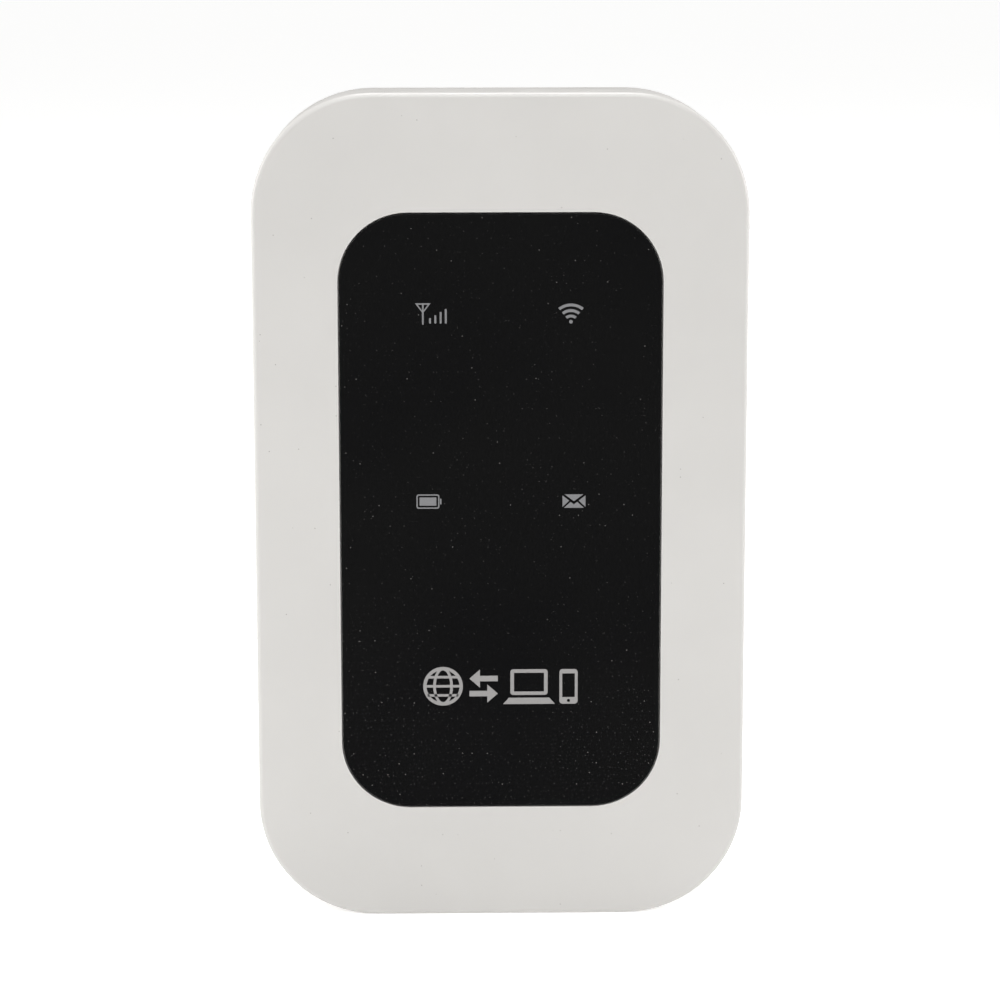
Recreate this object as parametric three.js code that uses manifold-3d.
// Pocket mobile hotspot with a removable battery, standing upright on its bottom edge.
// Millimetres. +Z is up, the display side faces -Y, and the origin is the centre of the footprint.

import * as THREE from 'three';
import { mergeVertices } from 'three/addons/utils/BufferGeometryUtils.js';
import Module from 'manifold-3d';

const wasm = await Module();
wasm.setup();

// ---- Driving dimensions -------------------------------------------------------------------

// Case outline, seen from the front.
const CASE_WIDTH = 60;
const CASE_HEIGHT = 102;
const CASE_RADIUS = 14.5;
const FRONT_EDGE_FILLET = 0.7;
const BACK_EDGE_FILLET = 2.4;

// Layers from the front face to the back face. Their sum is the case thickness.
const FRONT_WALL = 1.8;
const LIGHT_SPACE = 1.8;
const BOARD_THICKNESS = 1.0;
const COMPONENT_SPACE = 1.9;
const FLOOR_THICKNESS = 0.8;
const LABEL_THICKNESS = 0.1;
const BATTERY_THICKNESS = 5.0;
const COVER_PAD_SPACE = 0.38;
const COVER_WALL = 1.2;

// Seams between the three shells.
const FRONT_COVER_DEPTH = 2.2;
const REVEAL_WIDTH = 0.3;
const REVEAL_DEPTH = 0.25;
const COVER_DEPTH = 4.85;
const COVER_EDGE_GAP = 0.15;
const SHELL_WALL = 1.5;
const LIP_WALL = 1.2;
const TONGUE_THICKNESS = 0.9;
const TONGUE_HEIGHT = 0.9;

// Bosses in the front cover, and the tubes of the rear housing that come down on them.
const BOSS_RADIUS = 2.0;
const BOSS_SHOULDER_RADIUS = 3.2;
const BOSS_TOP_GAP = 0.1;
const PILOT_GAP = 0.15;
const PILOT_FLOOR = 0.6;
const HOUSING_BOSS_RADIUS = 2.6;

// Black front panel.
const PANEL_WIDTH = 39;
const PANEL_HEIGHT = 73.5;
const PANEL_RADIUS = 8.3;
const PANEL_CENTRE_RISE = -0.2;
const PANEL_THICKNESS = 0.8;
const PANEL_RECESS = 0.05;
const PANEL_CHAMFER = 0.12;
const ADHESIVE_THICKNESS = 0.13;
const ADHESIVE_MARGIN = 1;
const PANEL_GAP = 0.15;

// Indicator lights behind the panel, measured from the panel's centre.
const INDICATOR_X = 8.65;
const UPPER_INDICATOR_RISE = 24.65;
const LOWER_INDICATOR_RISE = 1.65;
const WINDOW_WIDTH = 4.6;
const WINDOW_HEIGHT = 3.4;
const WINDOW_RADIUS = 0.6;
const GUIDE_GAP = 0.2;
const GUIDE_FLANGE = 0.7;
const GUIDE_FLANGE_THICKNESS = 0.3;
const GUIDE_STEM_WIDTH = 3.4;
const GUIDE_STEM_HEIGHT = 2.4;
const LED_LENGTH = 1.6;
const LED_WIDTH = 0.8;
const LED_HEIGHT = 0.65;
const BAFFLE_MARGIN = 2.2;
const BAFFLE_RADIUS = 1.5;
const BAFFLE_OPENING_WIDTH = 6;

// Main board and what is soldered to it.
const BOARD_EDGE_GAP = 0.4;
const NOTCH_GAP = 0.4;
const CAN_SHEET = 0.2;
const CAN_HEIGHT = 1.6;
const CAN_RADIUS = 0.8;
const MODEM_CAN = { x: -8, z: 30, width: 25, height: 22 };
const RADIO_CAN = { x: 13.5, z: 30, width: 14, height: 22 };
const THERMAL_PAD_WIDTH = 18;
const THERMAL_PAD_HEIGHT = 16;

// Packages under and beside the cans: centre x, centre z, width, height and thickness.
const PACKAGES = [
  { name: 'modem_chip', x: -12, z: 29, width: 12, height: 12, thickness: 1.0 },
  { name: 'memory_chip', x: 0, z: 34, width: 8, height: 9, thickness: 0.9 },
  { name: 'power_chip', x: 0, z: 24, width: 6, height: 6, thickness: 0.8 },
  { name: 'radio_chip', x: 13, z: 35, width: 7, height: 7, thickness: 0.8 },
  { name: 'amplifier_chip', x: 12, z: 25, width: 5, height: 4, thickness: 0.8 },
  { name: 'clock_crystal', x: 17.5, z: 25, width: 2.5, height: 3.2, thickness: 0.7 },
  { name: 'charge_inductor', x: -17, z: 52, width: 4, height: 4, thickness: 1.5 },
  { name: 'bulk_capacitor', x: -10, z: 52, width: 3.5, height: 2.8, thickness: 1.5 },
];

// Battery and its bay.
const BATTERY_WIDTH = 44;
const BATTERY_HEIGHT = 56;
const BATTERY_EDGE_RADIUS = 1.2;
const BATTERY_CAP_HEIGHT = 2.4;
const BATTERY_CAP_INSET = 0.1;
const PAD_THICKNESS = 0.15;
const PAD_MARGIN = 0.3;
const PAD_POCKET_GAP = 0.05;
const BAY_BOTTOM = 10;
const BAY_GAP = 0.3;
const BAY_WALL = 1.2;
const CONTACT_PITCH = 4;
const CONTACT_COUNT = 3;
const CONTACT_WIDTH = 1.6;
const CONTACT_BLOCK_GAP = 0.4;
const CONTACT_BLOCK_DEPTH = 4;
const CONTACT_BLOCK_RISE = 6.8;
const CONTACT_BLOCK_WALL = 0.8;
const SPRING_SHEET = 0.2;
const SPRING_BEND = 0.8;
const SPRING_END_MARGIN = 0.9;
const SPRING_SLOT_GAP = 0.2;
const SPRING_STAND_OFF = 0.08;
const LABEL_MARGIN_X = 4;
const LABEL_MARGIN_Z = 6;

// Finger scoop beside the battery, for lifting it out.
const SCOOP_Z = 32;
const SCOOP_HALF_HEIGHT = 6;
const SCOOP_REACH = 3.3;
const SCOOP_DEPTH = 3.8;
const SCOOP_WALL = 1.0;

// Recess above the battery, with the card socket.
const RECESS_HEIGHT = 25.4;
const RECESS_FLOOR_THICKNESS = 0.5;
const RECESS_FLOOR_GAP = 0.2;

// Subscriber card (the full-size 25 x 15 mm card) and its socket.
const CARD_LENGTH = 25;
const CARD_WIDTH = 15;
const CARD_THICKNESS = 0.76;
const CARD_CHAMFER = 3;
const CARD_CENTRE_X = -8.2;
const CARD_ABOVE_RECESS_BOTTOM = 14.4;
const CARD_OVERHANG = 1.8;
const CARD_RISE = 0.79;
const SOCKET_BASE_THICKNESS = 0.63;
const SOCKET_SHEET = 0.25;
const SOCKET_SIDE_GAP = 0.25;
const SOCKET_END_GAP = 0.4;
const SOCKET_TOP_GAP = 0.1;
const SOCKET_BASE_GAP = 0.1;
const SOCKET_SPRING_WELLS = [-7.5, 0];
const SOCKET_WELL_HALF_WIDTH = 2;
const SOCKET_WELL_HALF_HEIGHT = 4.6;
const SOCKET_WELL_DEPTH = 0.3;
const THUMB_CUT = 7;

// Micro USB socket on the left side.
const USB_Z = 40;
const USB_WIDTH = 7.5;
const USB_HEIGHT = 2.5;
const USB_DEPTH = 5.4;
const USB_SHEET = 0.25;
const USB_RECESS = 0.6;
const USB_CHAMFER = 0.9;
const USB_TONGUE_THICKNESS = 0.6;
const USB_TONGUE_HALF_WIDTH = 1.9;
const USB_TONGUE_SETBACK = 0.9;
const USB_BASE_DEPTH = 1.3;
const USB_BASE_GAP = 0.1;

// Power key on the right side.
const KEY_Z = 81;
const KEY_LENGTH = 10;
const KEY_HEIGHT = 2.8;
const KEY_PROTRUSION = 0.4;
const KEY_FLANGE_MARGIN = 0.8;
const KEY_FLANGE_THICKNESS = 0.7;
const KEY_GAP = 0.2;
const KEY_RISE = 0.8;
const KEY_EDGE = 0.3;

// Side-push switch behind the power key. Its plunger moves along x.
const KEY_SWITCH_DEPTH = 3.0;
const KEY_SWITCH_LENGTH = 4.6;
const KEY_SWITCH_HEIGHT = 1.75;
const KEY_PLUNGER_RADIUS = 0.6;
const KEY_PLUNGER_REACH = 0.6;
const KEY_PLUNGER_WELL = 0.8;
const KEY_PLUNGER_INSIDE = 0.4;
const PLUNGER_GAP = 0.15;

// Reset switch beside the battery contacts.
const RESET_X = 15.5;
const RESET_HOLE_RADIUS = 0.75;
const RESET_ISLAND_WALL = 1.0;
const RESET_SWITCH_WIDTH = 3.6;
const RESET_SWITCH_HEIGHT = 2.6;
const RESET_SWITCH_THICKNESS = 1.0;
const RESET_PLUNGER_RADIUS = 0.65;
const RESET_PLUNGER_REACH = 0.28;
const RESET_PLUNGER_INSIDE = 0.35;
const RESET_WELL = 0.75;
const RESET_ROOF_GAP = 0.4;
const RESET_ROOF = 0.6;

// Case screws.
const SCREW_FROM_SIDE = 13;
const SCREW_FROM_END = 5.6;
const SCREW_RADIUS = 0.8;
const SCREW_HEAD_RADIUS = 1.5;
const SCREW_HEAD_HEIGHT = 0.8;
const SCREW_LENGTH = 7.4;
const SCREW_POINT = 0.6;
const SCREW_HEAD_EDGE = 0.25;
const SCREW_CROWN_INSET = 0.35;
const HEAD_BELOW_LEDGE = 0.2;
const DRIVER_HALF_LENGTH = 0.9;
const DRIVER_HALF_WIDTH = 0.2;
const DRIVER_DEPTH = 0.45;

// Antennas: films on the back ledge, fed by sprung pins.
const ANTENNA_PIN_RADIUS = 0.8;
const ANTENNA_TIP_RADIUS = 0.4;
const ANTENNA_TAPER = 0.3;
const ANTENNA_POINT = 0.2;
const ANTENNA_THICKNESS = 0.13;
const ANTENNA_SLOT_HALF_WIDTH = 0.35;
const ANTENNA_BRIDGE = 1.3;
const ANTENNA_END_MARGIN = 1.2;
const END_ANTENNA_HEIGHT = 5.9;
const END_ANTENNA_SLOTS = 6;
const SIDE_ANTENNA_WIDTH = 3.4;
const SIDE_ANTENNA_HEIGHT = 24;
const SIDE_ANTENNA_SLOTS = 4;

// Battery cover: its snap ribs, its fingernail notch and the pad inside it.
const RIB_LENGTH = 4;
const RIB_DEPTH = 0.7;
const RIB_X = 9;
const RIB_EDGE_GAP = 0.5;
const RIB_ROOF_GAP = 0.4;
const PRY_NOTCH_Z = 22;
const PRY_NOTCH_LENGTH = 9;
const PRY_NOTCH_DEPTH = 1.3;
const COVER_PAD_MARGIN = 6;
const COVER_PAD_GAP = 0.1;

// General clearances.
const TOUCH = 0.02; // left between faces that rest on each other
const FIT_GAP = 0.3; // left around pieces that pass through another
const OVERLAP = 0.5; // how far joined solids reach into each other
const BEYOND = 1; // how far a cutting solid reaches past the face that it cuts

// Segments of a round corner are twice these numbers.
const CASE_ARC_STEPS = 6;
const SMALL_ARC_STEPS = 2;
const LARGE_RADIUS = 4;
const PILL_FLAT = 0.15; // half the flat left at each end of a pill shape
const ROUND_STEPS = 16;

// ---- Planes and places that follow from them ----------------------------------------------

const CASE_THICKNESS = FRONT_WALL + LIGHT_SPACE + BOARD_THICKNESS + COMPONENT_SPACE + FLOOR_THICKNESS
  + LABEL_THICKNESS + TOUCH + BATTERY_THICKNESS + COVER_PAD_SPACE + COVER_WALL;
const FRONT_Y = -CASE_THICKNESS / 2;
const BACK_Y = CASE_THICKNESS / 2;
const FRONT_WALL_BACK = FRONT_Y + FRONT_WALL;
const POCKET_FLOOR = FRONT_Y + PANEL_RECESS + PANEL_THICKNESS + ADHESIVE_THICKNESS + 2 * TOUCH;
const BOARD_FRONT = FRONT_WALL_BACK + LIGHT_SPACE;
const BOARD_BACK = BOARD_FRONT + BOARD_THICKNESS;
const FLOOR_FRONT = BOARD_BACK + COMPONENT_SPACE;
const FLOOR_BACK = FLOOR_FRONT + FLOOR_THICKNESS;
const BATTERY_FRONT = FLOOR_BACK + LABEL_THICKNESS + TOUCH;
const BATTERY_BACK = BATTERY_FRONT + BATTERY_THICKNESS;
const COVER_INNER = BACK_Y - COVER_WALL;
const HOUSING_BACK = COVER_INNER - FIT_GAP;
const FRONT_COVER_EDGE = FRONT_Y + FRONT_COVER_DEPTH;
const PARTING_Y = FRONT_COVER_EDGE + REVEAL_WIDTH;
const COVER_EDGE = BACK_Y - COVER_DEPTH;
const SHOULDER_Y = COVER_EDGE - COVER_EDGE_GAP;
const LIP_INSET = COVER_WALL + FIT_GAP;
const TONGUE_INSET = SHELL_WALL + KEY_GAP;
const BOARD_INSET = TONGUE_INSET + TONGUE_THICKNESS + BOARD_EDGE_GAP;

const PANEL_CENTRE_Z = CASE_HEIGHT / 2 + PANEL_CENTRE_RISE;

const BAY_HALF_WIDTH = BATTERY_WIDTH / 2 + BAY_GAP;
const BATTERY_BOTTOM = BAY_BOTTOM + BAY_GAP;
const BAY_TOP = BATTERY_BOTTOM + BATTERY_HEIGHT + BAY_GAP;
const RECESS_TOP = BAY_TOP + RECESS_HEIGHT;
const RECESS_FLOOR_FRONT = BOARD_BACK + RECESS_FLOOR_GAP;
const RECESS_FLOOR_BACK = RECESS_FLOOR_FRONT + RECESS_FLOOR_THICKNESS;
const CONTACT_BLOCK_BOTTOM = BAY_TOP + CONTACT_BLOCK_GAP;
const CARD_Z = BAY_TOP + CARD_ABOVE_RECESS_BOTTOM;
const RESET_Z = BAY_TOP + RESET_ISLAND_WALL + FIT_GAP + RESET_SWITCH_HEIGHT / 2;

const KEY_BACK_X = CASE_WIDTH / 2 - SHELL_WALL - KEY_GAP - KEY_FLANGE_THICKNESS;
const KEY_SWITCH_FACE = KEY_BACK_X - KEY_PLUNGER_REACH - TOUCH;
const USB_FRONT_X = -CASE_WIDTH / 2 + USB_RECESS;
const USB_BACK_X = USB_FRONT_X + USB_DEPTH;

const CONTACT_BLOCK_WIDTH = CONTACT_COUNT * CONTACT_PITCH;
const SPRING_LOW = BATTERY_FRONT - BOARD_BACK + SPRING_END_MARGIN;
const SPRING_HIGH = CONTACT_BLOCK_RISE - SPRING_END_MARGIN;

const ANTENNA_FEEDS = {
  main: { x: -9, z: SCREW_FROM_END },
  diversity: { x: 9, z: CASE_HEIGHT - SCREW_FROM_END },
  wireless: { x: -BAY_HALF_WIDTH - BAY_WALL - 2.2, z: 22 },
};

const SCREW_X = CASE_WIDTH / 2 - SCREW_FROM_SIDE;
const SCREW_PLACES = [];
for (const x of [-SCREW_X, SCREW_X]) {
  for (const z of [SCREW_FROM_END, CASE_HEIGHT - SCREW_FROM_END]) {
    SCREW_PLACES.push({ x, z });
  }
}

const INDICATORS = [
  { name: 'signal', x: -INDICATOR_X, z: PANEL_CENTRE_Z + UPPER_INDICATOR_RISE },
  { name: 'wireless', x: INDICATOR_X, z: PANEL_CENTRE_Z + UPPER_INDICATOR_RISE },
  { name: 'battery', x: -INDICATOR_X, z: PANEL_CENTRE_Z + LOWER_INDICATOR_RISE },
  { name: 'message', x: INDICATOR_X, z: PANEL_CENTRE_Z + LOWER_INDICATOR_RISE },
];

// ---- Materials ----------------------------------------------------------------------------

function finish(color, roughness, metalness = 0) {
  return new THREE.MeshStandardMaterial({ color, roughness, metalness, flatShading: true });
}

const FINISH = {
  whiteShell: () => finish(0xd6d3d0, 0.55),
  blackGloss: () => finish(0x141415, 0.12),
  blackPlastic: () => finish(0x1c1c1e, 0.6),
  diffuser: () => finish(0xe8ecee, 0.35),
  foam: () => finish(0x26262a, 0.9),
  adhesive: () => finish(0x2b2b2b, 0.8),
  solderMask: () => finish(0x14502e, 0.4),
  chip: () => finish(0x202225, 0.5),
  tin: () => finish(0xc3c6c8, 0.35, 1),
  steel: () => finish(0xb4b7ba, 0.3, 1),
  gold: () => finish(0xd9b45a, 0.3, 1),
  ceramic: () => finish(0xf2e9c8, 0.3),
  copperFilm: () => finish(0x8a5a2b, 0.4),
  batterySleeve: () => finish(0x2d3238, 0.5),
  paper: () => finish(0xf4f4f2, 0.8),
  silicone: () => finish(0x8f9aa6, 0.85),
  socketPlastic: () => finish(0xd8d2c4, 0.6),
};

// ---- Shape helpers ------------------------------------------------------------------------

// A rectangle with round corners, centred on (x, y) of its own plane.
function roundedRectangle(width, height, radius, x = 0, y = 0) {
  const right = x + width / 2;
  const left = x - width / 2;
  const top = y + height / 2;
  const bottom = y - height / 2;
  const shape = new THREE.Shape();
  shape.moveTo(left + radius, bottom);
  shape.lineTo(right - radius, bottom);
  shape.absarc(right - radius, bottom + radius, radius, -Math.PI / 2, 0, false);
  shape.lineTo(right, top - radius);
  shape.absarc(right - radius, top - radius, radius, 0, Math.PI / 2, false);
  shape.lineTo(left + radius, top);
  shape.absarc(left + radius, top - radius, radius, Math.PI / 2, Math.PI, false);
  shape.lineTo(left, bottom + radius);
  shape.absarc(left + radius, bottom + radius, radius, Math.PI, 1.5 * Math.PI, false);
  shape.isLarge = radius > LARGE_RADIUS;
  return shape;
}

function polygon(points) {
  return new THREE.Shape(points.map(([x, y]) => new THREE.Vector2(x, y)));
}

// The case outline, moved inwards by inset.
function caseOutline(inset) {
  const width = CASE_WIDTH - 2 * inset;
  const height = CASE_HEIGHT - 2 * inset;
  return roundedRectangle(width, height, CASE_RADIUS - inset, 0, CASE_HEIGHT / 2);
}

// The panel outline, moved outwards by margin.
function panelOutline(margin) {
  const width = PANEL_WIDTH + 2 * margin;
  const height = PANEL_HEIGHT + 2 * margin;
  return roundedRectangle(width, height, PANEL_RADIUS + margin, 0, PANEL_CENTRE_Z);
}

// The solid of a closed geometry, ready for cuts and joins.
function solid(geometry) {
  geometry.deleteAttribute('normal');
  geometry.deleteAttribute('uv');
  const merged = mergeVertices(geometry, 1e-5);
  const mesh = new wasm.Mesh({
    numProp: 3,
    vertProperties: merged.attributes.position.array,
    triVerts: new Uint32Array(merged.index.array),
  });
  return new wasm.Manifold(mesh);
}

const AXES = {
  x: [new THREE.Vector3(0, 1, 0), new THREE.Vector3(0, 0, 1), new THREE.Vector3(1, 0, 0)],
  y: [new THREE.Vector3(1, 0, 0), new THREE.Vector3(0, 0, 1), new THREE.Vector3(0, -1, 0)],
  z: [new THREE.Vector3(1, 0, 0), new THREE.Vector3(0, 1, 0), new THREE.Vector3(0, 0, 1)],
};

// A flat outline given thickness along an axis, from low to high. Along y the outline is drawn
// in (x, z), along x in (y, z) and along z in (x, y). An edge size rounds both rims.
function plate(shape, axis, low, high, edge = 0, edgeSteps = 3) {
  const curveSegments = shape.isLarge ? CASE_ARC_STEPS : SMALL_ARC_STEPS;
  const settings = { depth: high - low - 2 * edge, curveSegments, bevelEnabled: edge > 0 };
  if (edge > 0) {
    settings.bevelThickness = edge;
    settings.bevelSize = edge;
    settings.bevelOffset = -edge;
    settings.bevelSegments = edgeSteps;
  }
  const geometry = new THREE.ExtrudeGeometry(shape, settings);
  geometry.translate(0, 0, edge);
  geometry.applyMatrix4(new THREE.Matrix4().makeBasis(...AXES[axis]));
  const start = axis === 'y' ? high : low;
  geometry.translate(axis === 'x' ? start : 0, axis === 'y' ? start : 0, axis === 'z' ? start : 0);
  return solid(geometry);
}

function box(xLow, xHigh, yLow, yHigh, zLow, zHigh) {
  const geometry = new THREE.BoxGeometry(xHigh - xLow, yHigh - yLow, zHigh - zLow);
  geometry.translate((xLow + xHigh) / 2, (yLow + yHigh) / 2, (zLow + zHigh) / 2);
  return solid(geometry);
}

// A round bar along y, from yLow to yHigh, centred on (x, z).
function pin(radius, x, z, yLow, yHigh, steps = ROUND_STEPS) {
  const geometry = new THREE.CylinderGeometry(radius, radius, yHigh - yLow, steps);
  geometry.translate(x, (yLow + yHigh) / 2, z);
  return solid(geometry);
}

// A turned piece whose profile of [radius, y] points starts and ends on its axis, along y.
function turned(profile, x, z, steps = ROUND_STEPS) {
  const points = profile.map(([radius, y]) => new THREE.Vector2(radius, y));
  const geometry = new THREE.LatheGeometry(points, steps);
  geometry.translate(x, 0, z);
  return solid(geometry);
}

function joined(...solids) {
  return solids.reduce((whole, next) => whole.add(next));
}

function addPiece(group, name, shape, material) {
  const cut = shape.getMesh();
  const geometry = new THREE.BufferGeometry();
  const positions = new Float32Array(cut.vertProperties);
  geometry.setAttribute('position', new THREE.BufferAttribute(positions, 3));
  geometry.setIndex(new THREE.BufferAttribute(new Uint32Array(cut.triVerts), 1));
  geometry.computeVertexNormals();
  const mesh = new THREE.Mesh(geometry, material);
  mesh.name = name;
  group.add(mesh);
  return mesh;
}

// ---- Front cover and panel ----------------------------------------------------------------

// A boss that carries the board on its shoulder and takes a case screw.
function frontBoss({ x, z }) {
  const root = FRONT_WALL_BACK - OVERLAP;
  const shoulder = pin(BOSS_SHOULDER_RADIUS, x, z, root, BOARD_FRONT - TOUCH);
  return shoulder.add(pin(BOSS_RADIUS, x, z, root, FLOOR_FRONT - BOSS_TOP_GAP));
}

function frontCover() {
  const overrun = 2; // carries the fillet of the far rim past the cut
  const root = FRONT_WALL_BACK - OVERLAP;
  let cover = plate(caseOutline(0), 'y', FRONT_Y, FRONT_COVER_EDGE + overrun, FRONT_EDGE_FILLET)
    .intersect(plate(caseOutline(-BEYOND), 'y', FRONT_Y - BEYOND, FRONT_COVER_EDGE));
  cover = cover.add(plate(caseOutline(REVEAL_DEPTH), 'y', root, PARTING_Y - TOUCH));
  cover = cover.add(plate(caseOutline(TONGUE_INSET), 'y', root, PARTING_Y + TONGUE_HEIGHT));
  const cavity = plate(caseOutline(TONGUE_INSET + TONGUE_THICKNESS), 'y', FRONT_WALL_BACK, BACK_Y);
  cover = cover.subtract(cavity);
  const keyReach = KEY_LENGTH / 2 + KEY_FLANGE_MARGIN + FIT_GAP;
  const notchBottom = KEY_Z - keyReach;
  const notchTop = KEY_Z + keyReach;
  cover = cover.subtract(box(CASE_WIDTH / 4, CASE_WIDTH, PARTING_Y - TOUCH, BACK_Y, notchBottom, notchTop));
  cover = joined(cover, ...SCREW_PLACES.map(frontBoss));
  for (const { x, z } of SCREW_PLACES) {
    cover = cover.subtract(pin(SCREW_RADIUS + PILOT_GAP, x, z, FRONT_WALL_BACK + PILOT_FLOOR, BACK_Y));
  }
  cover = cover.subtract(plate(panelOutline(PANEL_GAP), 'y', FRONT_Y - BEYOND, POCKET_FLOOR));
  for (const { x, z } of INDICATORS) {
    const window = roundedRectangle(WINDOW_WIDTH, WINDOW_HEIGHT, WINDOW_RADIUS, x, z);
    cover = cover.subtract(plate(window, 'y', FRONT_Y, FRONT_WALL_BACK + BEYOND));
  }
  return cover;
}

function frontPanel() {
  const front = FRONT_Y + PANEL_RECESS;
  const whole = plate(panelOutline(0), 'y', front, front + 2 * PANEL_THICKNESS, PANEL_CHAMFER, 1);
  const keep = plate(panelOutline(BEYOND), 'y', FRONT_Y - BEYOND, front + PANEL_THICKNESS);
  return whole.intersect(keep);
}

function panelAdhesive() {
  const back = POCKET_FLOOR - TOUCH;
  let sheet = plate(panelOutline(-ADHESIVE_MARGIN), 'y', back - ADHESIVE_THICKNESS, back);
  for (const { x, z } of INDICATORS) {
    const window = roundedRectangle(WINDOW_WIDTH, WINDOW_HEIGHT, WINDOW_RADIUS, x, z);
    sheet = sheet.subtract(plate(window, 'y', FRONT_Y, FRONT_WALL_BACK));
  }
  return sheet;
}

// A clear moulding that fills the window, with a flange behind the wall and a stem to the light.
function lightGuide({ x, z }) {
  const plugWidth = WINDOW_WIDTH - 2 * GUIDE_GAP;
  const plugHeight = WINDOW_HEIGHT - 2 * GUIDE_GAP;
  const plug = roundedRectangle(plugWidth, plugHeight, WINDOW_RADIUS - GUIDE_GAP, x, z);
  const flangeWidth = WINDOW_WIDTH + 2 * GUIDE_FLANGE;
  const flangeHeight = WINDOW_HEIGHT + 2 * GUIDE_FLANGE;
  const flange = roundedRectangle(flangeWidth, flangeHeight, WINDOW_RADIUS, x, z);
  const stem = roundedRectangle(GUIDE_STEM_WIDTH, GUIDE_STEM_HEIGHT, WINDOW_RADIUS, x, z);
  const flangeBack = FRONT_WALL_BACK + TOUCH + GUIDE_FLANGE_THICKNESS;
  return joined(
    plate(plug, 'y', POCKET_FLOOR, flangeBack),
    plate(flange, 'y', FRONT_WALL_BACK + TOUCH, flangeBack),
    plate(stem, 'y', FRONT_WALL_BACK + TOUCH, BOARD_FRONT - LED_HEIGHT - FIT_GAP),
  );
}

// Foam block between wall and board, with a well round each light.
function lightBaffle() {
  const width = 2 * (INDICATOR_X + GUIDE_FLANGE + BAFFLE_MARGIN) + WINDOW_WIDTH;
  const span = UPPER_INDICATOR_RISE - LOWER_INDICATOR_RISE;
  const height = span + WINDOW_HEIGHT + 2 * (GUIDE_FLANGE + BAFFLE_MARGIN);
  const middle = PANEL_CENTRE_Z + (UPPER_INDICATOR_RISE + LOWER_INDICATOR_RISE) / 2;
  const outline = roundedRectangle(width, height, BAFFLE_RADIUS, 0, middle);
  let block = plate(outline, 'y', FRONT_WALL_BACK + TOUCH, BOARD_FRONT - TOUCH);
  for (const { x, z } of INDICATORS) {
    const wellWidth = WINDOW_WIDTH + 2 * (GUIDE_FLANGE + GUIDE_GAP);
    const wellHeight = WINDOW_HEIGHT + 2 * (GUIDE_FLANGE + GUIDE_GAP);
    const well = roundedRectangle(wellWidth, wellHeight, WINDOW_RADIUS + GUIDE_GAP, x, z);
    block = block.subtract(plate(well, 'y', FRONT_Y, BOARD_BACK));
  }
  const openingHeight = height - 4 * BAFFLE_MARGIN;
  const opening = roundedRectangle(BAFFLE_OPENING_WIDTH, openingHeight, WINDOW_RADIUS, 0, middle);
  return block.subtract(plate(opening, 'y', FRONT_Y, BOARD_BACK));
}

function buildFront() {
  const group = new THREE.Group();
  addPiece(group, 'front_cover', frontCover(), FINISH.whiteShell());
  addPiece(group, 'front_panel', frontPanel(), FINISH.blackGloss());
  addPiece(group, 'panel_adhesive', panelAdhesive(), FINISH.adhesive());
  addPiece(group, 'light_baffle', lightBaffle(), FINISH.foam());
  for (const indicator of INDICATORS) {
    addPiece(group, `light_guide_${indicator.name}`, lightGuide(indicator), FINISH.diffuser());
  }
  return group;
}

// ---- Main board and what is soldered to it ------------------------------------------------

// Everything here is drawn with y = 0 at the board's back surface, out to buildBoard.

function mainBoard() {
  let board = plate(caseOutline(BOARD_INSET), 'y', -BOARD_THICKNESS, 0);
  for (const { x, z } of SCREW_PLACES) {
    const radius = BOSS_RADIUS + NOTCH_GAP;
    const outer = z < CASE_HEIGHT / 2 ? 0 : CASE_HEIGHT;
    const low = -BOARD_THICKNESS - BEYOND;
    const slot = box(x - radius, x + radius, low, BEYOND, Math.min(z, outer), Math.max(z, outer));
    board = board.subtract(pin(radius, x, z, low, BEYOND)).subtract(slot);
  }
  return board;
}

function chipBlock(width, height, thickness) {
  return box(-width / 2, width / 2, TOUCH, TOUCH + thickness, -height / 2, height / 2);
}

// A five-sided screening can, open towards the board.
function shieldCan(width, height) {
  const outside = roundedRectangle(width, height, CAN_RADIUS);
  const innerWidth = width - 2 * CAN_SHEET;
  const innerHeight = height - 2 * CAN_SHEET;
  const inside = roundedRectangle(innerWidth, innerHeight, CAN_RADIUS - CAN_SHEET);
  return plate(outside, 'y', TOUCH, CAN_HEIGHT).subtract(plate(inside, 'y', -BEYOND, CAN_HEIGHT - CAN_SHEET));
}

function placed(group, x, z) {
  const holder = new THREE.Group();
  holder.position.set(x, 0, z);
  group.add(holder);
  return holder;
}

function ledBody() {
  const front = -BOARD_THICKNESS - TOUCH;
  const halfLength = LED_LENGTH / 2;
  const halfWidth = LED_WIDTH / 2;
  return box(-halfLength, halfLength, front - LED_HEIGHT, front, -halfWidth, halfWidth);
}

// A sprung pin that reaches from the board through the ledge to an antenna's feed pad.
function antennaPin() {
  const tip = HOUSING_BACK - BOARD_BACK - TOUCH;
  const collar = HOUSING_BACK - LIP_WALL - BOARD_BACK - FIT_GAP;
  return turned([
    [0, TOUCH],
    [ANTENNA_PIN_RADIUS, TOUCH],
    [ANTENNA_PIN_RADIUS, collar],
    [ANTENNA_TIP_RADIUS, collar + ANTENNA_TAPER],
    [ANTENNA_TIP_RADIUS, tip - ANTENNA_POINT],
    [ANTENNA_TIP_RADIUS / 2, tip],
    [0, tip],
  ], 0, 0);
}

function roundBarX(radius, xLow, xHigh, y) {
  const shape = new THREE.Shape();
  shape.absarc(y, 0, radius, 0, 2 * Math.PI, false);
  return plate(shape, 'x', xLow, xHigh);
}

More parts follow.
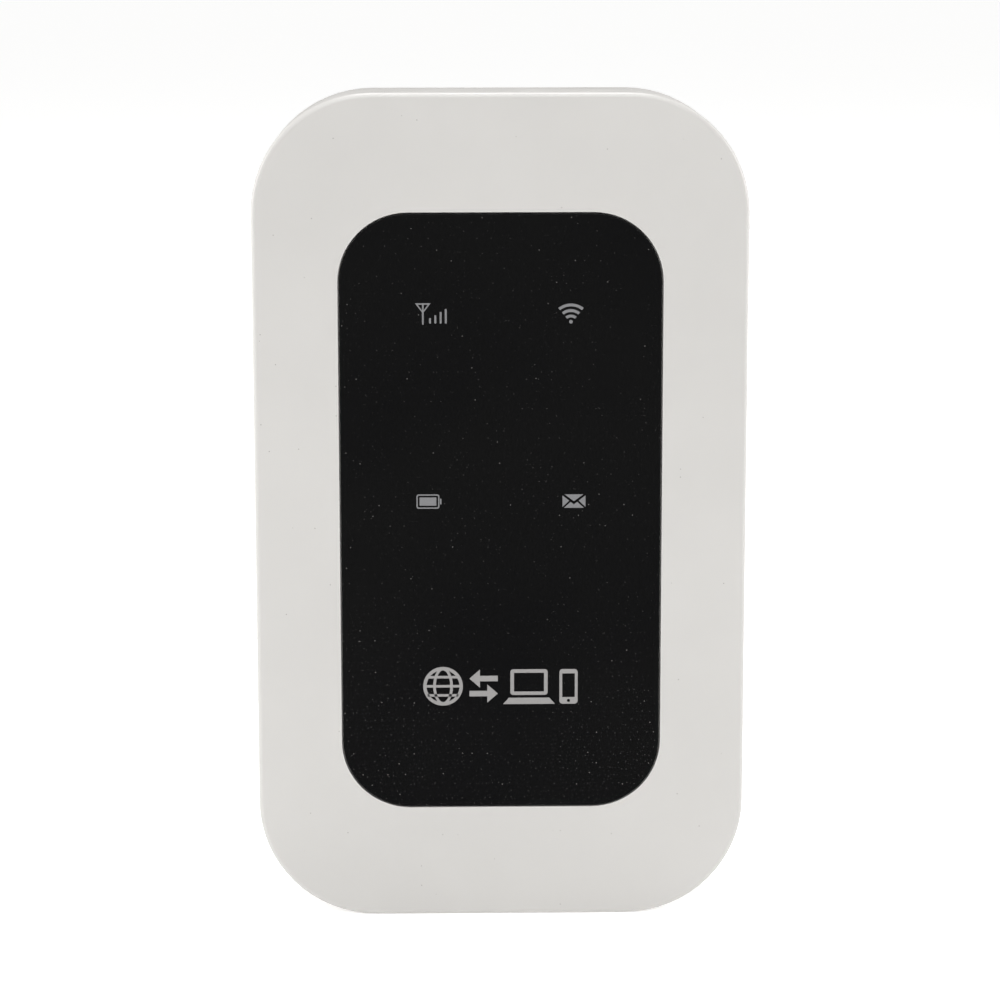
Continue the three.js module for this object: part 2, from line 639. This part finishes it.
// Side-push switch behind the power key. Its plunger moves along x.
function powerSwitchBody() {
  const back = KEY_SWITCH_FACE - KEY_SWITCH_DEPTH;
  const half = KEY_SWITCH_LENGTH / 2;
  const block = box(back, KEY_SWITCH_FACE, TOUCH, KEY_SWITCH_HEIGHT, -half, half);
  const wellRadius = KEY_PLUNGER_RADIUS + PLUNGER_GAP;
  const wellFloor = KEY_SWITCH_FACE - KEY_PLUNGER_WELL;
  return block.subtract(roundBarX(wellRadius, wellFloor, KEY_SWITCH_FACE + BEYOND, KEY_RISE));
}

function powerSwitchPlunger() {
  const inner = KEY_SWITCH_FACE - KEY_PLUNGER_INSIDE;
  return roundBarX(KEY_PLUNGER_RADIUS, inner, KEY_BACK_X - TOUCH, KEY_RISE);
}

// Push switch under the reset hole. Its plunger moves along y.
function resetSwitchBody() {
  const block = chipBlock(RESET_SWITCH_WIDTH, RESET_SWITCH_HEIGHT, RESET_SWITCH_THICKNESS);
  const top = TOUCH + RESET_SWITCH_THICKNESS;
  return block.subtract(pin(RESET_PLUNGER_RADIUS + PLUNGER_GAP, 0, 0, top - RESET_WELL, top + BEYOND));
}

function resetSwitchPlunger() {
  const top = TOUCH + RESET_SWITCH_THICKNESS;
  return pin(RESET_PLUNGER_RADIUS, 0, 0, top - RESET_PLUNGER_INSIDE, top + RESET_PLUNGER_REACH);
}

// Outline of the socket's D-shaped mouth in (y, z), moved inwards by inset.
function usbOutline(inset) {
  const half = USB_WIDTH / 2 - inset;
  const low = TOUCH + inset;
  const high = TOUCH + USB_HEIGHT - inset;
  return polygon([
    [low, -half],
    [low, half],
    [high - USB_CHAMFER, half],
    [high, half - USB_CHAMFER],
    [high, -half + USB_CHAMFER],
    [high - USB_CHAMFER, -half],
  ].reverse());
}

function usbShell() {
  const outside = plate(usbOutline(0), 'x', USB_FRONT_X, USB_BACK_X);
  const inside = plate(usbOutline(USB_SHEET), 'x', USB_FRONT_X - BEYOND, USB_BACK_X - USB_SHEET);
  return outside.subtract(inside);
}

function usbTongue() {
  const baseBack = USB_BACK_X - USB_SHEET - TOUCH;
  const baseFront = baseBack - USB_BASE_DEPTH;
  const base = plate(usbOutline(USB_SHEET + USB_BASE_GAP), 'x', baseFront, baseBack);
  const front = USB_FRONT_X + USB_TONGUE_SETBACK;
  const low = TOUCH + USB_HEIGHT / 2;
  const high = low + USB_TONGUE_THICKNESS;
  const half = USB_TONGUE_HALF_WIDTH;
  return base.add(box(front, baseFront + OVERLAP, low, high, -half, half));
}

// Card socket, drawn round the seated card's centre. The base stands clear of the shell's walls.
function socketBase() {
  const half = CARD_WIDTH / 2 + SOCKET_SIDE_GAP - SOCKET_BASE_GAP;
  const left = -CARD_LENGTH / 2 - SOCKET_END_GAP + SOCKET_BASE_GAP;
  const right = CARD_LENGTH / 2 - CARD_OVERHANG;
  let base = box(left, right, TOUCH, SOCKET_BASE_THICKNESS, -half, half);
  const wellFloor = SOCKET_BASE_THICKNESS - SOCKET_WELL_DEPTH;
  const wellTop = SOCKET_BASE_THICKNESS + BEYOND;
  for (const x of SOCKET_SPRING_WELLS) {
    const low = x - SOCKET_WELL_HALF_WIDTH;
    const high = x + SOCKET_WELL_HALF_WIDTH;
    const well = box(low, high, wellFloor, wellTop, -SOCKET_WELL_HALF_HEIGHT, SOCKET_WELL_HALF_HEIGHT);
    base = base.subtract(well);
  }
  return base;
}

function socketShell() {
  const roof = CARD_RISE + CARD_THICKNESS + SOCKET_TOP_GAP;
  const top = roof + SOCKET_SHEET;
  const innerHalf = CARD_WIDTH / 2 + SOCKET_SIDE_GAP;
  const outerHalf = innerHalf + SOCKET_SHEET;
  const inner = -CARD_LENGTH / 2 - SOCKET_END_GAP;
  const right = CARD_LENGTH / 2 - CARD_OVERHANG;
  const outside = box(inner - SOCKET_SHEET, right, TOUCH, top, -outerHalf, outerHalf);
  const inside = box(inner, right + BEYOND, -BEYOND, roof, -innerHalf, innerHalf);
  const thumbCut = roundedRectangle(THUMB_CUT, THUMB_CUT, THUMB_CUT / 2 - PILL_FLAT, right, 0);
  return outside.subtract(inside).subtract(plate(thumbCut, 'y', roof - SOCKET_SHEET, top + BEYOND));
}

function subscriberCard() {
  const x = CARD_LENGTH / 2;
  const z = CARD_WIDTH / 2;
  const outline = polygon([
    [-x, -z],
    [x, -z],
    [x, z],
    [-x + CARD_CHAMFER, z],
    [-x, z - CARD_CHAMFER],
  ]);
  return plate(outline, 'y', CARD_RISE, CARD_RISE + CARD_THICKNESS);
}

// Centre x of a battery contact, counted from 0.
function contactX(index) {
  return (index - (CONTACT_COUNT - 1) / 2) * CONTACT_PITCH;
}

// Moulded block that holds the battery springs, with a slot for each.
function contactBlock() {
  const half = CONTACT_BLOCK_WIDTH / 2;
  let block = box(-half, half, TOUCH, CONTACT_BLOCK_RISE, 0, CONTACT_BLOCK_DEPTH);
  const slotLow = SPRING_LOW - FIT_GAP;
  const slotHigh = SPRING_HIGH + FIT_GAP;
  const slotTop = CONTACT_BLOCK_DEPTH - CONTACT_BLOCK_WALL;
  const slotHalf = CONTACT_WIDTH / 2 + SPRING_SLOT_GAP;
  for (let index = 0; index < CONTACT_COUNT; index += 1) {
    const x = contactX(index);
    block = block.subtract(box(x - slotHalf, x + slotHalf, slotLow, slotHigh, -BEYOND, slotTop));
  }
  return block;
}

// A leaf bent to a hairpin, whose nose stands out of the block towards the battery.
function contactSpring(nose) {
  const sheet = SPRING_SHEET;
  const root = CONTACT_BLOCK_DEPTH - CONTACT_BLOCK_WALL - sheet;
  const tip = root / 2 + SPRING_BEND;
  const slant = SPRING_BEND / 8;
  const leaf = polygon([
    [SPRING_LOW, root],
    [SPRING_LOW, SPRING_BEND],
    [SPRING_LOW + SPRING_BEND, nose],
    [SPRING_HIGH - SPRING_BEND, nose],
    [SPRING_HIGH, SPRING_BEND],
    [SPRING_HIGH, tip],
    [SPRING_HIGH - sheet, tip],
    [SPRING_HIGH - sheet, SPRING_BEND + slant],
    [SPRING_HIGH - SPRING_BEND - slant, nose + sheet],
    [SPRING_LOW + SPRING_BEND + slant, nose + sheet],
    [SPRING_LOW + sheet, SPRING_BEND + slant],
    [SPRING_LOW + sheet, root],
  ].reverse());
  return plate(leaf, 'x', -CONTACT_WIDTH / 2, CONTACT_WIDTH / 2);
}

function buildBoard() {
  const group = new THREE.Group();
  group.position.y = BOARD_BACK;
  addPiece(group, 'main_board', mainBoard(), FINISH.solderMask());
  for (const [name, can] of [['shield_can_modem', MODEM_CAN], ['shield_can_radio', RADIO_CAN]]) {
    addPiece(placed(group, can.x, can.z), name, shieldCan(can.width, can.height), FINISH.tin());
  }
  for (const { name, x, z, width, height, thickness } of PACKAGES) {
    addPiece(placed(group, x, z), name, chipBlock(width, height, thickness), FINISH.chip());
  }
  const padTop = COMPONENT_SPACE - TOUCH;
  const padOutline = roundedRectangle(THERMAL_PAD_WIDTH, THERMAL_PAD_HEIGHT, CAN_RADIUS);
  const pad = plate(padOutline, 'y', CAN_HEIGHT + TOUCH, padTop);
  addPiece(placed(group, MODEM_CAN.x, MODEM_CAN.z), 'thermal_pad', pad, FINISH.silicone());
  for (const { name, x, z } of INDICATORS) {
    addPiece(placed(group, x, z), `led_${name}`, ledBody(), FINISH.ceramic());
  }
  for (const [name, { x, z }] of Object.entries(ANTENNA_FEEDS)) {
    addPiece(placed(group, x, z), `antenna_pin_${name}`, antennaPin(), FINISH.gold());
  }
  const keySwitch = placed(group, 0, KEY_Z);
  addPiece(keySwitch, 'power_switch_body', powerSwitchBody(), FINISH.steel());
  addPiece(keySwitch, 'power_switch_plunger', powerSwitchPlunger(), FINISH.blackPlastic());
  const resetSwitch = placed(group, RESET_X, RESET_Z);
  addPiece(resetSwitch, 'reset_switch_body', resetSwitchBody(), FINISH.steel());
  addPiece(resetSwitch, 'reset_switch_plunger', resetSwitchPlunger(), FINISH.blackPlastic());
  const usb = placed(group, 0, USB_Z);
  addPiece(usb, 'usb_socket_shell', usbShell(), FINISH.steel());
  addPiece(usb, 'usb_socket_tongue', usbTongue(), FINISH.blackPlastic());
  const socket = placed(group, CARD_CENTRE_X, CARD_Z);
  addPiece(socket, 'sim_socket_base', socketBase(), FINISH.socketPlastic());
  addPiece(socket, 'sim_socket_shell', socketShell(), FINISH.steel());
  addPiece(socket, 'sim_card', subscriberCard(), FINISH.paper());
  const contacts = placed(group, 0, CONTACT_BLOCK_BOTTOM);
  addPiece(contacts, 'battery_contact_block', contactBlock(), FINISH.blackPlastic());
  const nose = BATTERY_BOTTOM + BATTERY_HEIGHT + SPRING_STAND_OFF - CONTACT_BLOCK_BOTTOM;
  for (let index = 0; index < CONTACT_COUNT; index += 1) {
    const spring = addPiece(contacts, `battery_spring_${index + 1}`, contactSpring(nose), FINISH.gold());
    spring.position.x = contactX(index);
  }
  return group;
}

// ---- Rear housing -------------------------------------------------------------------------

// Snap ribs of the battery cover: eight round the skirt, each given by its centre and its long axis.
const RIB_PLACES = [];
for (const x of [-RIB_X, RIB_X]) {
  for (const z of [0, CASE_HEIGHT]) {
    RIB_PLACES.push({ x, z, along: 'x' });
  }
}
for (const x of [-CASE_WIDTH / 2, CASE_WIDTH / 2]) {
  for (const z of [CASE_HEIGHT / 3, (2 * CASE_HEIGHT) / 3]) {
    RIB_PLACES.push({ x, z, along: 'z' });
  }
}

// A block that stands inwards from the case outline at a rib, from depthLow to depthHigh.
function ribBlock({ x, z, along }, margin, depthLow, depthHigh, yLow, yHigh) {
  const half = RIB_LENGTH / 2 + margin;
  if (along === 'x') {
    const inwards = z > 0 ? -1 : 1;
    const ends = [z + inwards * depthLow, z + inwards * depthHigh].sort((a, b) => a - b);
    return box(x - half, x + half, yLow, yHigh, ends[0], ends[1]);
  }
  const inwards = x > 0 ? -1 : 1;
  const ends = [x + inwards * depthLow, x + inwards * depthHigh].sort((a, b) => a - b);
  return box(ends[0], ends[1], yLow, yHigh, z - half, z + half);
}

// The finger scoop's box, grown by a margin on its three closed sides.
function scoop(margin, bottom, back) {
  const half = SCOOP_HALF_HEIGHT + margin;
  const reach = BAY_HALF_WIDTH + SCOOP_REACH + margin;
  return box(BAY_HALF_WIDTH - OVERLAP, reach, bottom, back, SCOOP_Z - half, SCOOP_Z + half);
}

function housingShell() {
  let shell = plate(caseOutline(0), 'y', PARTING_Y, SHOULDER_Y);
  shell = shell.add(plate(caseOutline(LIP_INSET), 'y', PARTING_Y, HOUSING_BACK));
  shell = shell.subtract(plate(caseOutline(SHELL_WALL), 'y', FRONT_Y, SHOULDER_Y - LIP_WALL));
  return shell.subtract(plate(caseOutline(LIP_INSET + LIP_WALL), 'y', FRONT_Y, HOUSING_BACK - LIP_WALL));
}

// Solid blocks from which the battery bay and the recess above it are hollowed.
function bayBlocks() {
  const half = BAY_HALF_WIDTH + BAY_WALL;
  const bottom = BAY_BOTTOM - BAY_WALL;
  const top = RECESS_TOP + BAY_WALL;
  return joined(
    box(-half, half, FLOOR_FRONT, HOUSING_BACK, bottom, top),
    box(-half, half, RECESS_FLOOR_FRONT, HOUSING_BACK, BAY_TOP - BAY_WALL, top),
    scoop(SCOOP_WALL, HOUSING_BACK - SCOOP_DEPTH - SCOOP_WALL, HOUSING_BACK),
  );
}

// The room inside the bay, the recess and the scoop.
function bayRoom() {
  const half = BAY_HALF_WIDTH;
  return joined(
    box(-half, half, FLOOR_BACK, BACK_Y, BAY_BOTTOM, BAY_TOP + BEYOND),
    box(-half, half, RECESS_FLOOR_BACK, BACK_Y, BAY_TOP, RECESS_TOP),
    scoop(0, HOUSING_BACK - SCOOP_DEPTH, BACK_Y),
  );
}

function resetIsland(margin, top) {
  const halfX = RESET_SWITCH_WIDTH / 2 + FIT_GAP + margin;
  const halfZ = RESET_SWITCH_HEIGHT / 2 + FIT_GAP + margin;
  const left = RESET_X - halfX;
  const right = RESET_X + halfX;
  return box(left, right, RECESS_FLOOR_FRONT, top, RESET_Z - halfZ, RESET_Z + halfZ);
}

function rearHousing() {
  let housing = housingShell().add(bayBlocks()).subtract(bayRoom());
  const seat = HOUSING_BACK - SCREW_HEAD_HEIGHT - HEAD_BELOW_LEDGE;
  for (const { x, z } of SCREW_PLACES) {
    housing = housing.add(pin(HOUSING_BOSS_RADIUS, x, z, FLOOR_FRONT, HOUSING_BACK));
    housing = housing.subtract(pin(SCREW_RADIUS + FIT_GAP, x, z, FRONT_Y, BACK_Y));
    housing = housing.subtract(pin(SCREW_HEAD_RADIUS + FIT_GAP, x, z, seat, BACK_Y));
  }
  for (const place of RIB_PLACES) {
    const depth = COVER_WALL + RIB_DEPTH + FIT_GAP;
    housing = housing.subtract(ribBlock(place, FIT_GAP, LIP_INSET - BEYOND, depth, SHOULDER_Y, BACK_Y));
  }
  const plungerTop = BOARD_BACK + TOUCH + RESET_SWITCH_THICKNESS + RESET_PLUNGER_REACH;
  const roof = plungerTop + RESET_ROOF_GAP;
  const islandTop = roof + RESET_ROOF;
  housing = housing.add(resetIsland(RESET_ISLAND_WALL, islandTop));
  housing = housing.subtract(resetIsland(0, roof));
  housing = housing.subtract(pin(RESET_HOLE_RADIUS, RESET_X, RESET_Z, BOARD_BACK, islandTop + BEYOND));
  return housing.subtract(housingOpenings());
}

// Ways through the walls and floors for the sockets, the key and the antenna pins.
function housingOpenings() {
  const cuts = [];
  const usbHalf = USB_WIDTH / 2 + FIT_GAP;
  const usbLow = BOARD_BACK + TOUCH - FIT_GAP;
  const usbHigh = BOARD_BACK + TOUCH + USB_HEIGHT + FIT_GAP;
  const usbInner = -CASE_WIDTH / 2 + SHELL_WALL + BEYOND;
  cuts.push(box(-CASE_WIDTH, usbInner, usbLow, usbHigh, USB_Z - usbHalf, USB_Z + usbHalf));
  const keyY = BOARD_BACK + KEY_RISE;
  const keySize = KEY_HEIGHT + 2 * KEY_GAP;
  const keyRadius = keySize / 2 - PILL_FLAT;
  const keyHole = roundedRectangle(keySize, KEY_LENGTH + 2 * KEY_GAP, keyRadius, keyY, KEY_Z);
  cuts.push(plate(keyHole, 'x', CASE_WIDTH / 2 - SHELL_WALL - OVERLAP, CASE_WIDTH));
  const floorTop = RECESS_FLOOR_BACK + BEYOND;
  const socketHalf = CARD_WIDTH / 2 + SOCKET_SIDE_GAP + SOCKET_SHEET + FIT_GAP;
  const socketLeft = CARD_CENTRE_X - CARD_LENGTH / 2 - SOCKET_END_GAP - SOCKET_SHEET - FIT_GAP;
  const socketRight = CARD_CENTRE_X + CARD_LENGTH / 2 - CARD_OVERHANG + FIT_GAP;
  const socketBottom = CARD_Z - socketHalf;
  cuts.push(box(socketLeft, socketRight, BOARD_BACK, floorTop, socketBottom, CARD_Z + socketHalf));
  const blockHalf = CONTACT_BLOCK_WIDTH / 2 + FIT_GAP;
  const blockBottom = CONTACT_BLOCK_BOTTOM - FIT_GAP;
  const blockTop = CONTACT_BLOCK_BOTTOM + CONTACT_BLOCK_DEPTH + FIT_GAP;
  cuts.push(box(-blockHalf, blockHalf, BOARD_BACK, floorTop, blockBottom, blockTop));
  for (const { x, z } of Object.values(ANTENNA_FEEDS)) {
    cuts.push(pin(ANTENNA_TIP_RADIUS + FIT_GAP, x, z, HOUSING_BACK - 2 * LIP_WALL, BACK_Y));
  }
  return joined(...cuts);
}

// ---- Pieces fixed to the rear housing -----------------------------------------------------

// A film antenna: a plain strip with slots cut in from alternate sides.
function filmAntenna(width, height, slots) {
  const film = plate(roundedRectangle(width, height, 0.6), 'y', TOUCH, TOUCH + ANTENNA_THICKNESS);
  const lengthwise = Math.max(width, height);
  const across = Math.min(width, height);
  let antenna = film;
  for (let index = 0; index < slots; index += 1) {
    const along = -lengthwise / 2 + ((index + 1.5) * lengthwise) / (slots + 2);
    const side = index % 2 === 0 ? 1 : -1;
    const from = side > 0 ? -across / 2 + ANTENNA_BRIDGE : -across;
    const to = side > 0 ? across : across / 2 - ANTENNA_BRIDGE;
    const low = along - ANTENNA_SLOT_HALF_WIDTH;
    const high = along + ANTENNA_SLOT_HALF_WIDTH;
    const slot = width > height
      ? box(low, high, -BEYOND, BEYOND, from, to)
      : box(from, to, -BEYOND, BEYOND, low, high);
    antenna = antenna.subtract(slot);
  }
  return antenna;
}

function caseScrew() {
  const underHead = HOUSING_BACK - SCREW_HEAD_HEIGHT - HEAD_BELOW_LEDGE + TOUCH;
  const top = underHead + SCREW_HEAD_HEIGHT;
  const end = underHead - SCREW_LENGTH;
  const screw = turned([
    [0, end],
    [SCREW_RADIUS / 2, end],
    [SCREW_RADIUS, end + SCREW_POINT],
    [SCREW_RADIUS, underHead],
    [SCREW_HEAD_RADIUS, underHead],
    [SCREW_HEAD_RADIUS, top - SCREW_HEAD_EDGE],
    [SCREW_HEAD_RADIUS - SCREW_CROWN_INSET, top],
    [0, top],
  ], 0, 0);
  const floor = top - DRIVER_DEPTH;
  const length = DRIVER_HALF_LENGTH;
  const width = DRIVER_HALF_WIDTH;
  return screw
    .subtract(box(-length, length, floor, top + BEYOND, -width, width))
    .subtract(box(-width, width, floor, top + BEYOND, -length, length));
}

// Key cap with a flange that keeps it behind the wall.
function powerKey() {
  const y = BOARD_BACK + KEY_RISE;
  const outline = roundedRectangle(KEY_HEIGHT, KEY_LENGTH, KEY_HEIGHT / 2 - PILL_FLAT, y, KEY_Z);
  const face = CASE_WIDTH / 2 + KEY_PROTRUSION;
  const cap = plate(outline, 'x', KEY_BACK_X - BEYOND, face, KEY_EDGE, 2)
    .intersect(box(KEY_BACK_X, CASE_WIDTH, -CASE_THICKNESS, CASE_THICKNESS, 0, CASE_HEIGHT));
  const flangeHeight = KEY_HEIGHT + 2 * KEY_FLANGE_MARGIN;
  const flangeLength = KEY_LENGTH + 2 * KEY_FLANGE_MARGIN;
  const flange = roundedRectangle(flangeHeight, flangeLength, KEY_FLANGE_MARGIN, y, KEY_Z);
  return cap.add(plate(flange, 'x', KEY_BACK_X, KEY_BACK_X + KEY_FLANGE_THICKNESS));
}

function buildHousing() {
  const group = new THREE.Group();
  addPiece(group, 'rear_housing', rearHousing(), FINISH.whiteShell());
  addPiece(group, 'power_key', powerKey(), FINISH.whiteShell());
  const labelBack = FLOOR_BACK + LABEL_THICKNESS;
  const labelWidth = BATTERY_WIDTH - 2 * LABEL_MARGIN_X;
  const labelHeight = BATTERY_HEIGHT - 2 * LABEL_MARGIN_Z;
  const label = roundedRectangle(labelWidth, labelHeight, 1, 0, BATTERY_BOTTOM + BATTERY_HEIGHT / 2);
  addPiece(group, 'bay_label', plate(label, 'y', FLOOR_BACK + TOUCH, labelBack), FINISH.paper());
  SCREW_PLACES.forEach(({ x, z }, index) => {
    const screw = addPiece(group, `case_screw_${index + 1}`, caseScrew(), FINISH.steel());
    screw.position.set(x, 0, z);
  });
  const endWidth = 2 * (SCREW_X - SCREW_HEAD_RADIUS - FIT_GAP - ANTENNA_END_MARGIN);
  for (const [name, z] of [['main', SCREW_FROM_END], ['diversity', CASE_HEIGHT - SCREW_FROM_END]]) {
    const antenna = filmAntenna(endWidth, END_ANTENNA_HEIGHT, END_ANTENNA_SLOTS);
    const film = addPiece(group, `antenna_film_${name}`, antenna, FINISH.copperFilm());
    film.position.set(0, HOUSING_BACK, z);
  }
  const feed = ANTENNA_FEEDS.wireless;
  const antenna = filmAntenna(SIDE_ANTENNA_WIDTH, SIDE_ANTENNA_HEIGHT, SIDE_ANTENNA_SLOTS);
  const film = addPiece(group, 'antenna_film_wireless', antenna, FINISH.copperFilm());
  film.position.set(feed.x, HOUSING_BACK, feed.z + SIDE_ANTENNA_HEIGHT / 2 - 2);
  return group;
}

// ---- Battery ------------------------------------------------------------------------------

// Drawn with y = 0 at the battery's front face and z = 0 at its bottom.
function buildBattery() {
  const group = new THREE.Group();
  group.position.set(0, BATTERY_FRONT, BATTERY_BOTTOM);
  const middle = BATTERY_THICKNESS / 2;
  const packTop = BATTERY_HEIGHT - BATTERY_CAP_HEIGHT;
  const section = roundedRectangle(BATTERY_WIDTH, BATTERY_THICKNESS, BATTERY_EDGE_RADIUS, 0, middle);
  addPiece(group, 'battery_pack', plate(section, 'z', 0, packTop), FINISH.batterySleeve());
  const capWidth = BATTERY_WIDTH - 2 * BATTERY_CAP_INSET;
  const capDepth = BATTERY_THICKNESS - 2 * BATTERY_CAP_INSET;
  const capSection = roundedRectangle(capWidth, capDepth, BATTERY_EDGE_RADIUS, 0, middle);
  let cap = plate(capSection, 'z', packTop + TOUCH, BATTERY_HEIGHT);
  const half = CONTACT_WIDTH / 2 + PAD_MARGIN;
  const low = SPRING_LOW + BOARD_BACK - BATTERY_FRONT - PAD_MARGIN;
  const high = SPRING_HIGH + BOARD_BACK - BATTERY_FRONT + PAD_MARGIN;
  const floor = BATTERY_HEIGHT - PAD_THICKNESS;
  const gap = PAD_POCKET_GAP;
  const wide = half + gap;
  for (let index = 0; index < CONTACT_COUNT; index += 1) {
    const x = contactX(index);
    cap = cap.subtract(box(x - wide, x + wide, low - gap, high + gap, floor, BATTERY_HEIGHT + BEYOND));
    const pad = box(x - half, x + half, low, high, floor + TOUCH, BATTERY_HEIGHT);
    addPiece(group, `battery_pad_${index + 1}`, pad, FINISH.gold());
  }
  addPiece(group, 'battery_cap', cap, FINISH.blackPlastic());
  return group;
}

// ---- Battery cover ------------------------------------------------------------------------

function batteryCover() {
  const overrun = 6; // carries the fillet of the far rim past the cut
  let cover = plate(caseOutline(0), 'y', COVER_EDGE - overrun, BACK_Y, BACK_EDGE_FILLET, 5)
    .intersect(plate(caseOutline(-BEYOND), 'y', COVER_EDGE, BACK_Y + BEYOND));
  cover = cover.subtract(plate(caseOutline(COVER_WALL), 'y', FRONT_Y, COVER_INNER));
  const ribLow = COVER_EDGE + RIB_EDGE_GAP;
  const ribHigh = COVER_INNER - RIB_ROOF_GAP;
  for (const place of RIB_PLACES) {
    cover = cover.add(ribBlock(place, 0, COVER_WALL / 2, COVER_WALL + RIB_DEPTH, ribLow, ribHigh));
  }
  const radius = PRY_NOTCH_DEPTH - PILL_FLAT;
  const notch = roundedRectangle(2 * PRY_NOTCH_DEPTH, PRY_NOTCH_LENGTH, radius, COVER_EDGE, PRY_NOTCH_Z);
  const notchEnd = -CASE_WIDTH / 2 + COVER_WALL + TOUCH;
  return cover.subtract(plate(notch, 'x', -CASE_WIDTH, notchEnd));
}

function buildCover() {
  const group = new THREE.Group();
  addPiece(group, 'battery_cover', batteryCover(), FINISH.whiteShell());
  const width = BATTERY_WIDTH - COVER_PAD_MARGIN;
  const height = BATTERY_HEIGHT - COVER_PAD_MARGIN;
  const outline = roundedRectangle(width, height, 2, 0, BATTERY_BOTTOM + BATTERY_HEIGHT / 2);
  const pad = plate(outline, 'y', BATTERY_BACK + COVER_PAD_GAP, COVER_INNER - TOUCH);
  addPiece(group, 'cover_pad', pad, FINISH.foam());
  return group;
}

// ---- Assembly -----------------------------------------------------------------------------

const hotspot = new THREE.Group();
hotspot.add(buildFront(), buildBoard(), buildHousing(), buildBattery(), buildCover());

export default hotspot;
